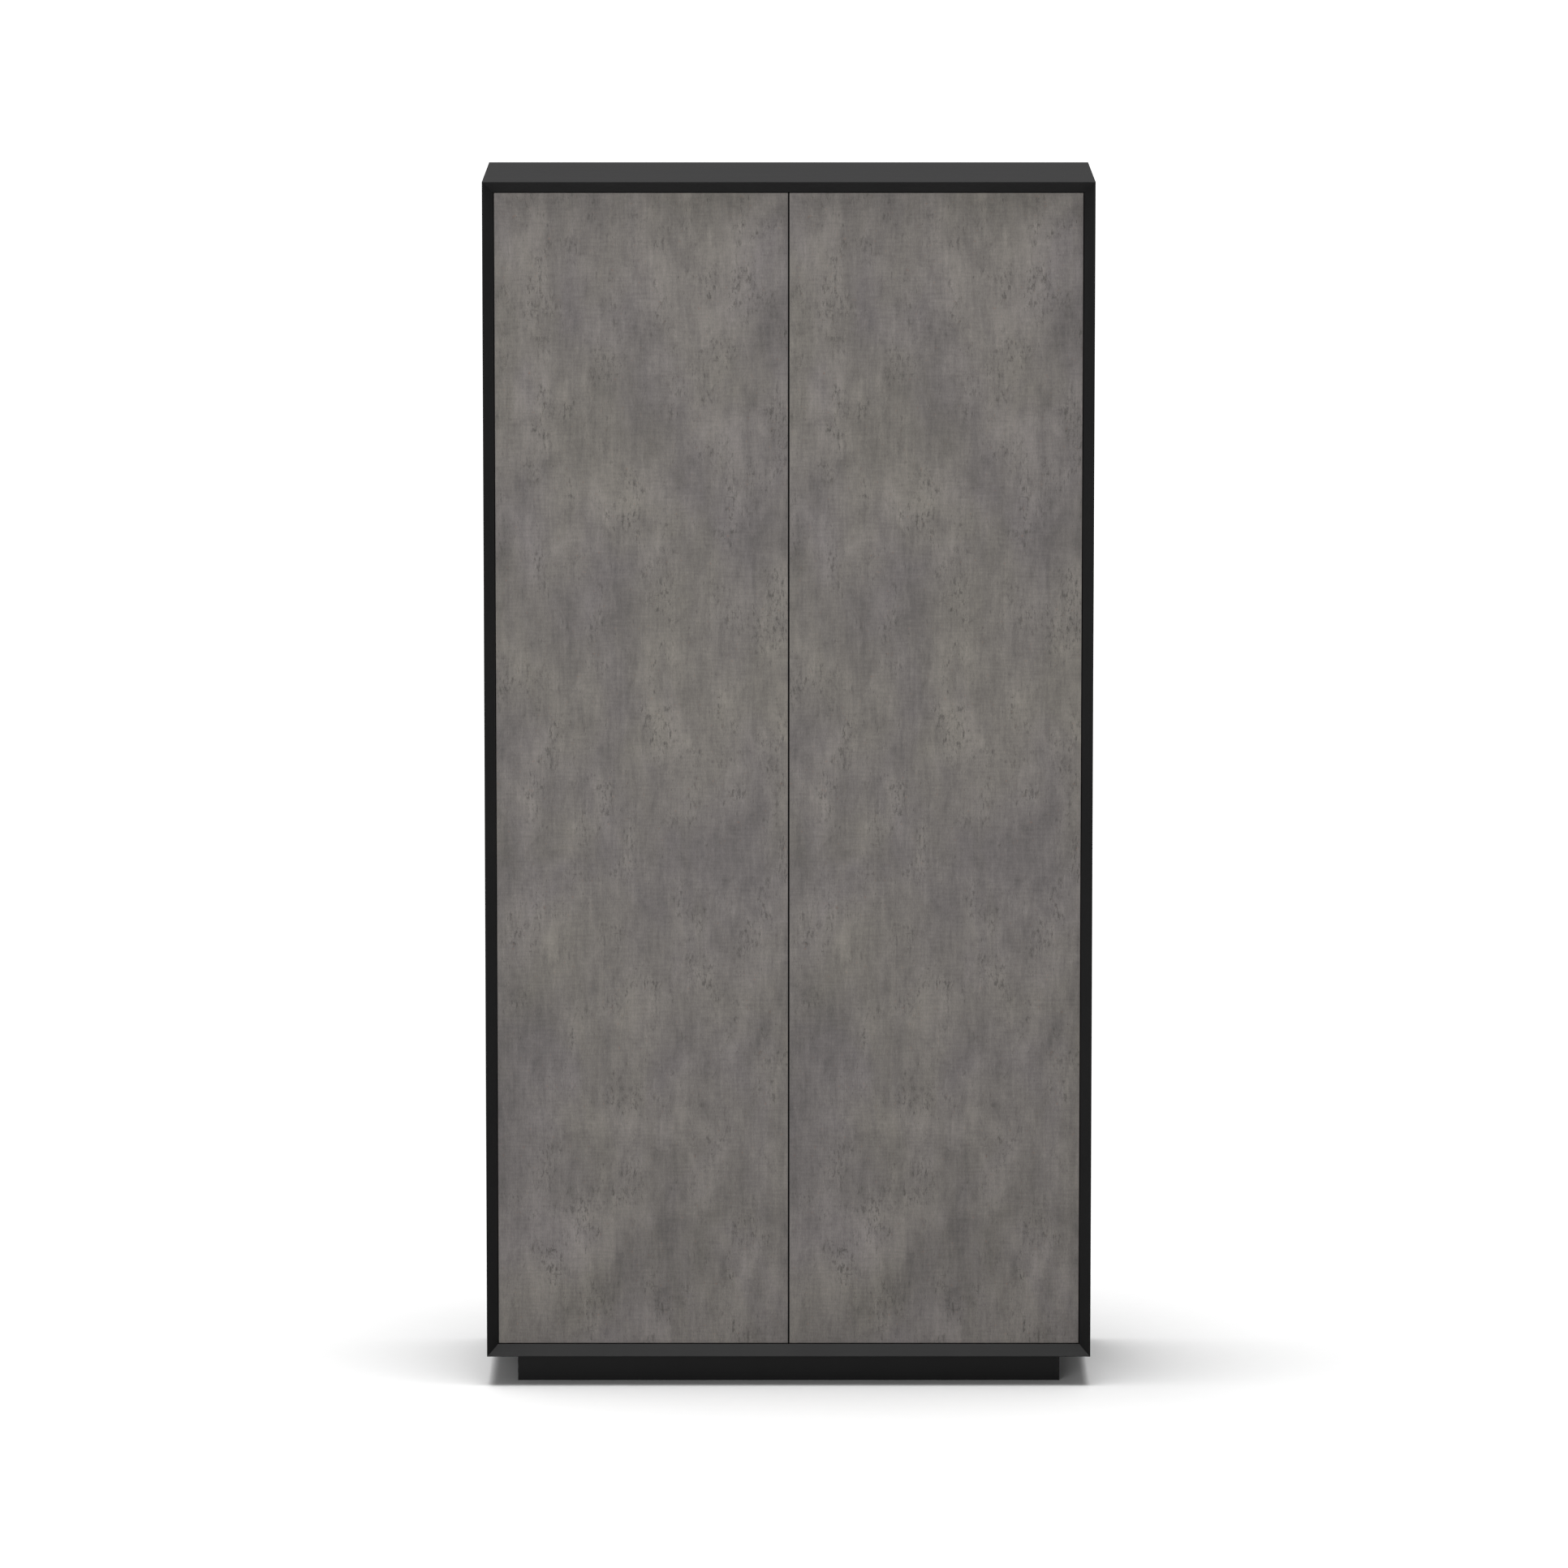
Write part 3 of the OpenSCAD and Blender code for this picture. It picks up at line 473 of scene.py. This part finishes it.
class StageSettings(bpy.types.PropertyGroup):
    floor: FloatVectorProperty(name="Floor", description="Colour of the floor", default=(0.72, 0.72, 0.72),
                               size=3, subtype="COLOR", min=0, max=1)
    overhead: FloatProperty(name="Overhead light", description="Power of the light above", default=905.0,
                            min=0, unit="POWER")
    front: FloatProperty(name="Front light", description="Power of the light before the doors", default=150.0,
                         min=0, unit="POWER")
    sky: FloatProperty(name="Surroundings", description="Brightness of the white surroundings", default=0.28,
                       min=0, max=3)
    distance: FloatProperty(name="Camera distance", description="From the camera to the wardrobe's front",
                            default=15.68, min=2, unit="LENGTH")
    height: FloatProperty(name="Camera height", description="Height of the camera above the floor",
                          default=3.299, min=0.1, unit="LENGTH")
    tilt: FloatProperty(name="Camera tilt", description="How far the camera looks down", default=0.14500,
                        subtype="ANGLE", unit="ROTATION")
    lens: FloatProperty(name="Lens", description="Focal length of the camera", default=221.4, min=10,
                        unit="CAMERA")


GROUPS = {"wardrobe_doors": DoorSettings, "wardrobe_boards": BoardSettings, "wardrobe_metal": MetalSettings,
          "wardrobe_stage": StageSettings}


# ---------- doors ----------


def rounded_slab(low, high, radius, steps=4):
    """Slab with rounded edges: the inner box's corner on a point's side, plus radius times its direction.

    The direction runs over a sphere whose poles face front and back, so the first and last rows are the
    corners of the two flat faces. Returns the points, the side faces, and the rows' and columns' counts.
    """
    low, high = np.asarray(low, float), np.asarray(high, float)
    centre, inner = (low + high) / 2, (high - low) / 2 - radius
    quarter = np.linspace(0, np.pi / 2, steps + 1)
    tilt = np.concatenate([quarter - np.pi / 2, quarter])[:, None]
    depth_side = np.repeat([-1.0, 1.0], steps + 1)[:, None]
    turn = np.concatenate([quarter + k * np.pi / 2 for k in range(4)])[None, :]
    x_side = np.repeat([1.0, -1.0, -1.0, 1.0], steps + 1)[None, :]
    z_side = np.repeat([1.0, 1.0, -1.0, -1.0], steps + 1)[None, :]
    x = centre[0] + x_side * inner[0] + radius * np.cos(tilt) * np.cos(turn)
    y = centre[1] + depth_side * inner[1] + radius * np.sin(tilt) + 0 * turn
    z = centre[2] + z_side * inner[2] + radius * np.cos(tilt) * np.sin(turn)
    rows, columns = x.shape
    return np.stack([x, y, z], -1).reshape(-1, 3), grid_faces(rows, columns), rows, columns


def bore_rings(side, steps=48):
    """Circles of a door's hinge-cup bores, (x0 + r cos a, z0 + r sin a), and the depth of the cups' floor."""
    cup_low, cup_high = islands(f"{side}_hinge_cups")
    if side == "left":
        across = cup_high[:, 0] - CUP_FLANGE_REACH
    else:
        across = cup_low[:, 0] + CUP_FLANGE_REACH
    height = (cup_low[:, 2] + cup_high[:, 2]) / 2
    angle = np.linspace(0, 2 * np.pi, steps, endpoint=False)
    x = across[:, None] + CUP_BORE_RADIUS * np.cos(angle)
    z = height[:, None] + CUP_BORE_RADIUS * np.sin(angle)
    return np.stack([x, z], -1), cup_low[:, 1].min()


def door_leaf(side, look, edging, core):
    """A door: rounded slab, one flat front face, and a back face cut round the bores of its hinge cups.

    Each bore's circle is carried from the back face to the floor of its cup.
    """
    decor_slot, edging_slot, core_slot = range(3)
    low, high = (np.array(c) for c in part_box(f"{side}_door"))
    verts, faces, rows, columns = rounded_slab(low, high, look.edge_radius)
    corner = np.arange(4) * (columns // 4)
    rings, floor_y = bore_rings(side)
    bores, steps = rings.shape[:2]
    outline = verts[(rows - 1) * columns + corner][:, [0, 2]]
    flat = np.concatenate([outline, rings.reshape(-1, 2)])
    loops = [np.arange(4)] + [4 + k * steps + np.arange(steps) for k in range(bores)]
    # Output type 5 fills the outline with faces and leaves the loops inside it as holes
    cut, _, cut_faces, *_ = delaunay_2d_cdt([Vector(point) for point in flat], [],
                                            [loop.tolist() for loop in loops], 5, 1e-7)
    cut = np.array([tuple(point) for point in cut])
    back = np.insert(cut, 1, high[1], axis=1)
    walls = np.stack([np.insert(rings, 1, y, axis=2) for y in (high[1], floor_y)], 1)
    start = len(verts)
    all_verts = [verts, back]
    all_faces = [tuple(f) for f in faces] + [tuple(corner)] + [tuple(np.array(f) + start) for f in cut_faces]
    slots = [edging_slot] * len(faces) + [decor_slot] * (1 + len(cut_faces))
    start += len(back)
    for wall in walls:
        all_verts.append(wall.reshape(-1, 3))
        bore_floor = tuple(start + steps + np.arange(steps))
        bore_faces = [tuple(f) for f in grid_faces(2, steps, start)] + [bore_floor]
        all_faces += bore_faces
        slots += [core_slot] * len(bore_faces)
        start += 2 * steps
    decor = stone_decor(f"stone_decor_{side}", ((low[0] + high[0]) / 2, 0, (low[2] + high[2]) / 2), look)
    leaf = place_mesh(f"{side}_door_leaf", np.concatenate(all_verts), all_faces,
                      [decor, edging, core], material_index=slots)
    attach(leaf, f"{side}_door")
    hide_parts(f"{side}_door")


def chip_core():
    """Raw chipboard where a board is bored."""
    made = Finish("chip_core", Specular_IOR_Level=0.2)
    chips = made.node("ShaderNodeTexVoronoi", Vector=made.coords(stretch=(1, 2.2, 1)), Scale=420.0)
    colour = made.ramp(chips.outputs["Color"], [(0.1, (0.22, 0.14, 0.08)), (0.9, (0.46, 0.33, 0.20))])
    made.drive("Base Color", colour)
    made.drive("Roughness", made.remap(chips.outputs["Distance"], 0.0, 0.6, 0.7, 0.9))
    made.relief(chips.outputs["Distance"], 0.0003, 0.6)
    return made.material


class WARDROBE_OT_doors(bpy.types.Operator):
    """Makes the two door leaves with their edging, decor and hinge bores"""

    bl_idname = "wardrobe.doors"
    bl_label = "Doors"

    def execute(self, context):
        look = context.scene.wardrobe_doors
        edging, core = door_edging(look), chip_core()
        for side in SIDES:
            door_leaf(side, look, edging, core)
        return {"FINISHED"}


# ---------- boards ----------


class WARDROBE_OT_boards(bpy.types.Operator):
    """Finishes the carcase, partition, shelves, back panel and plinth"""

    bl_idname = "wardrobe.boards"
    bl_label = "Boards"

    def execute(self, context):
        look = context.scene.wardrobe_boards
        outside = black_board("black_melamine", look, tuple(look.board), look.roughness)
        # Painted light: the partition and shelves get a paler copy of the black board, lit for the shaded
        # inside
        inside = black_board("black_melamine_inside", look, tuple(look.inside), look.roughness + 0.06)
        outer = ["left_side", "right_side", "top_panel", "bottom_panel", "plinth_front", "plinth_back_rail",
                 "plinth_left", "plinth_right", "plinth_brace"]
        inner = ["centre_partition", "hat_shelf", "shelf_1", "shelf_2", "shelf_3", "shelf_4"]
        soften(outer, "carcase", outside, look.edge_radius)
        soften(inner, "carcase", inside, look.edge_radius)
        soften(["back_panel"], "carcase", fibre_board(look), look.edge_radius)
        dress(["corner_dowels", "partition_dowels"], beech_wood())
        return {"FINISHED"}


# ---------- clothes rail ----------


def oval(width, height, steps):
    """Upright oval: two half circles of the width joined by straight sides, as (across, up) points."""
    half = np.linspace(0, np.pi, steps)
    rise = (height - width) / 2
    top = np.stack([width / 2 * np.cos(half), rise + width / 2 * np.sin(half)], -1)
    return np.concatenate([top, -top])


def oval_tube(name, low, high, wall, steps, material):
    """Tube along Y: the oval carried along a path that runs out, rounds the lip and comes back inside.

    Round a lip the oval shrinks by r - r cos a and reaches out by r sin a, r being half of the wall.
    """
    centre = (np.array(low) + np.array(high)) / 2
    width, height = high[0] - low[0], high[2] - low[2]
    lip = wall / 2
    bend = np.linspace(0, np.pi, 7)
    inset = lip - lip * np.cos(bend)
    reach = lip * np.sin(bend)
    inset = np.concatenate([inset, inset[::-1]])
    along = np.concatenate([high[1] - lip + reach, low[1] + lip - reach])
    rings = [np.insert(oval(width - 2 * i, height - 2 * i, steps), 1, y, axis=1)
             for i, y in zip(inset, along)]
    verts = np.concatenate(rings) + np.array([centre[0], 0, centre[2]])
    # One row of quads more than the rings have between them joins the last ring to the first
    faces = grid_faces(len(rings) + 1, 2 * steps) % len(verts)
    return place_mesh(name, verts, faces, [material], smooth=True, sharp_degrees=40)


class WARDROBE_OT_rail(bpy.types.Operator):
    """Makes the clothes rail and finishes its end caps and brackets"""

    bl_idname = "wardrobe.rail"
    bl_label = "Clothes rail"

    def execute(self, context):
        look = context.scene.wardrobe_metal
        chrome = plated_steel("polished_chrome", tuple(look.chrome), 0.24, (1, 0.02, 1), 0.12)
        low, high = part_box("clothes_rail")
        rail = oval_tube("clothes_rail_tube", low, high, RAIL_WALL, look.round_steps, chrome)
        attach(rail, "carcase")
        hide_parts("clothes_rail")
        soften(["rail_end_caps"], "carcase", finishes["plastic"], PLASTIC_EDGE)
        soften(["rail_brackets"], "carcase", finishes["zinc"], SHEET_EDGE)
        return {"FINISHED"}


# ---------- screws ----------


def screw_shape(head_radius, head_height, shank_radius, length, steps):
    """Pan-head screw along Z, head up, its seat at zero.

    A profile of (radius, height) turned about Z. The dome is an ellipse. A point in the cross, that is within
    a slot's half width of either arm and inside its reach, is pressed down by a step with sloping sides.
    Returns the points, the turned faces, and the corners of the flat face that closes the tip.
    """
    t = np.linspace(0, 1, 15)
    r = head_radius * np.sin(t * np.pi / 2)
    h = head_height * (0.35 + 0.65 * np.cos(t * np.pi / 2))
    below = np.array([[head_radius, 0.0], [shank_radius, 0.0], [shank_radius, -length * 0.85],
                      [shank_radius * 0.25, -length]])
    profile = np.concatenate([np.stack([r, h], -1), below])
    verts, faces = turned(profile, steps)
    x, y = np.abs(verts[:, 0]), np.abs(verts[:, 1])
    half, reach = head_radius * 0.14, head_radius * 0.62
    slot = np.clip((half - np.minimum(x, y)) / (half * 0.6) + 0.5, 0, 1)
    slot *= np.clip((reach - np.maximum(x, y)) / (reach * 0.3), 0, 1)
    verts[:, 2] -= np.where(verts[:, 2] > 0.3 * head_height, slot * head_height * 0.6, 0)
    end = np.arange(steps) + (len(profile) - 1) * steps
    return verts, faces, end


def screw_group(node, body, axis, head_end, sizes, steps):
    """One piece for a node of like screws: each fills its own CAD solid's box, its head at the given end."""
    low, high = islands(node)
    outward = 1.0 if head_end == "high" else -1.0
    head_height = sizes["head_height"]
    seat = (low + high) / 2
    seat[:, axis] = high[:, axis] - head_height if outward > 0 else low[:, axis] + head_height
    length = float((high - low)[:, axis].mean() - head_height)
    shape_verts, sides, end = screw_shape(**sizes, length=length, steps=steps)
    z_axis = np.zeros(3)
    z_axis[axis] = outward
    x_axis = np.roll(np.abs(z_axis), 1)
    axes = np.stack([x_axis, np.cross(z_axis, x_axis), z_axis], -1)
    verts, faces = copies(shape_verts, sides, seat, np.broadcast_to(axes, (len(seat), 3, 3)))
    faces += [tuple(end + k * len(shape_verts)) for k in range(len(seat))]
    piece = place_mesh(f"{node}_turned", verts, faces, [finishes["zinc"]], smooth=True, sharp_degrees=50)
    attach(piece, body)
    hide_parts(node)


class WARDROBE_OT_fasteners(bpy.types.Operator):
    """Makes the screws in sight and finishes brackets, cams, pins and latch screws"""

    bl_idname = "wardrobe.fasteners"
    bl_label = "Fasteners"

    def execute(self, context):
        steps = context.scene.wardrobe_metal.round_steps
        x, y, z = range(3)
        screw_group("rail_screws", "carcase", z, "low", SMALL_SCREW, steps)
        screw_group("wall_bracket_screws", "carcase", z, "low", SMALL_SCREW, steps)
        for side, inner_end in zip(SIDES, ("high", "low")):
            screw_group(f"{side}_cup_screws", f"{side}_door", y, "high", SMALL_SCREW, steps)
            screw_group(f"{side}_plate_screws", "carcase", x, inner_end, PLATE_SCREW, steps)
        zinc = finishes["zinc"]
        soften(["plinth_brackets", "wall_brackets"], "carcase", zinc, SHEET_EDGE)
        soften(["cam_locks"], "carcase", zinc, CAST_EDGE)
        soften(["latch_screws"], "carcase", zinc, SHEET_EDGE)
        dress(["plinth_screws", "cam_bolts"], zinc)
        soften(["shelf_pins"], "carcase", finishes["nickel"], PIN_EDGE)
        return {"FINISHED"}


# ---------- hinges and latches ----------


class WARDROBE_OT_hinges(bpy.types.Operator):
    """Finishes the concealed hinges: cups, levers, arms and mounting plates"""

    bl_idname = "wardrobe.hinges"
    bl_label = "Hinges"

    def execute(self, context):
        nickel = finishes["nickel"]
        for side in SIDES:
            for part, body in (("hinge_cups", f"{side}_door"), ("outer_levers", f"{side}_outer_levers"),
                               ("inner_levers", f"{side}_inner_levers"), ("hinge_arms", "carcase"),
                               ("hinge_plates", "carcase")):
                soften([f"{side}_{part}"], body, nickel, STAMPED_EDGE)
        return {"FINISHED"}


class WARDROBE_OT_latches(bpy.types.Operator):
    """Finishes the push latches and the catch plates on the doors"""

    bl_idname = "wardrobe.latches"
    bl_label = "Push latches"

    def execute(self, context):
        plastic, nickel = finishes["plastic"], finishes["nickel"]
        soften(["latch_housings"], "carcase", plastic, HOUSING_EDGE)
        for side in SIDES:
            latch = f"{side}_latch_plunger"
            soften([f"{side}_plunger_tip"], latch, plastic, PLASTIC_EDGE)
            soften([f"{side}_plunger"], latch, nickel, SHEET_EDGE)
            soften([f"{side}_catch_plate"], f"{side}_door", nickel, SHEET_EDGE)
        return {"FINISHED"}


# ---------- stage ----------

FLOOR_REACH = 60.0
CAMERA_SIDESTEP = -0.0077
SENSOR_WIDTH = 36.0
VIEW_DEPTH = 200.0

# Place, aim and size of each light, and the setting with its power
LIGHTS = {
    "overhead_light": ((-0.2, -0.30, 7.5), (0, -0.1, 0), (4.6, 3.8), "overhead"),
    "front_light": ((-1.7, -6.0, 1.1), (0, 0, 0.6), (3.4, 1.8), "front"),
}


def studio_floor(look):
    """Pale floor that fades into the white of the surroundings far from the wardrobe. This is painted light:
    the floor glows more and more with distance from its middle, where the wardrobe stands.
    """
    made = Finish("studio_floor", Roughness=0.85, Specular_IOR_Level=0.15)
    grain = made.noise(made.coords(), 40, 3)
    made.drive("Base Color", made.ramp(grain, [(0.3, shade(look.floor, 0.99)), (0.7, tuple(look.floor))]))
    away = made.node("ShaderNodeVectorMath", {"operation": "LENGTH"}, Vector=made.coords())
    # Painted light: the floor glows white, from nothing at 1.3 m from its middle to full strength at 8 m
    made.drive("Emission Color", (1.0, 1.0, 1.0, 1.0))
    made.drive("Emission Strength", made.remap(away.outputs["Value"], 1.3, 8.0, 0.0, 1.0))
    return made.material


def area_light(name, place, aim, size, power):
    """A rectangular light at a place, turned to shine at its aim."""
    data = bpy.data.lights.new(name, "AREA")
    data.shape, data.size, data.size_y, data.energy = "RECTANGLE", size[0], size[1], power
    light = bpy.data.objects.new(name, data)
    light.location = place
    light.rotation_euler = (Vector(aim) - Vector(place)).to_track_quat("-Z", "Y").to_euler()
    bpy.context.scene.collection.objects.link(light)


class WARDROBE_OT_stage(bpy.types.Operator):
    """Sets the pale floor, the soft studio lights and the camera"""

    bl_idname = "wardrobe.stage"
    bl_label = "Stage"

    def execute(self, context):
        scene = context.scene
        look = scene.wardrobe_stage
        corners = FLOOR_REACH * np.array([[-1, -1, 0], [1, -1, 0], [1, 1, 0], [-1, 1, 0]])
        floor = place_mesh("floor", corners, [(0, 1, 2, 3)], [studio_floor(look)])
        for name, (place, aim, size, setting) in LIGHTS.items():
            area_light(name, place, aim, size, getattr(look, setting))
        world = bpy.data.worlds.new("surroundings")
        world.use_nodes = True
        background = world.node_tree.nodes["Background"]
        background.inputs["Color"].default_value = (1, 1, 1, 1)
        background.inputs["Strength"].default_value = look.sky
        scene.world = world
        scene.view_settings.view_transform = "Standard"
        data = bpy.data.cameras.new("camera")
        data.lens, data.sensor_width, data.clip_end = look.lens, SENSOR_WIDTH, VIEW_DEPTH
        camera = bpy.data.objects.new("camera", data)
        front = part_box("left_side")[0][1]
        camera.location = (CAMERA_SIDESTEP, front - look.distance, look.height)
        camera.rotation_euler = (np.pi / 2 - look.tilt, 0, 0)
        scene.collection.objects.link(camera)
        scene.camera = camera
        return {"FINISHED"}


# ---------- panel and registration ----------

STEPS = (WARDROBE_OT_doors, WARDROBE_OT_boards, WARDROBE_OT_fasteners, WARDROBE_OT_rail, WARDROBE_OT_hinges,
         WARDROBE_OT_latches, WARDROBE_OT_stage)


class WARDROBE_PT_sidebar(bpy.types.Panel):
    """Lists the steps that dress the wardrobe, with their settings"""

    bl_label = "Wardrobe"
    bl_idname = "WARDROBE_PT_sidebar"
    bl_space_type = "VIEW_3D"
    bl_region_type = "UI"
    bl_category = "Wardrobe"

    def draw(self, context):
        for step in STEPS:
            self.layout.operator(step.bl_idname)
        for name, group in GROUPS.items():
            box = self.layout.box()
            for field in group.__annotations__:
                box.prop(getattr(context.scene, name), field)


CLASSES = (*GROUPS.values(), *STEPS, WARDROBE_PT_sidebar)


def register():
    for item in CLASSES:
        bpy.utils.register_class(item)
    for name, group in GROUPS.items():
        setattr(bpy.types.Scene, name, PointerProperty(type=group))


def unregister():
    for name in GROUPS:
        delattr(bpy.types.Scene, name)
    for item in reversed(CLASSES):
        bpy.utils.unregister_class(item)


def shared_finishes(look):
    """Finishes that several steps use."""
    finishes["nickel"] = plated_steel("nickel_plating", tuple(look.nickel), 0.26, (1, 1, 0.05), 0.25)
    finishes["zinc"] = plated_steel("zinc_plating", tuple(look.zinc), 0.36, (0.1, 1, 1), 0.5)
    finishes["plastic"] = moulded_plastic("moulded_plastic", (0.055, 0.055, 0.057), 0.42)


def main():
    """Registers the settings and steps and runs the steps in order."""
    register()
    shared_finishes(bpy.context.scene.wardrobe_metal)
    bpy.ops.wardrobe.doors()
    bpy.ops.wardrobe.boards()
    bpy.ops.wardrobe.fasteners()
    bpy.ops.wardrobe.rail()
    bpy.ops.wardrobe.hinges()
    bpy.ops.wardrobe.latches()
    bpy.ops.wardrobe.stage()


if __name__ == "__main__":
    main()
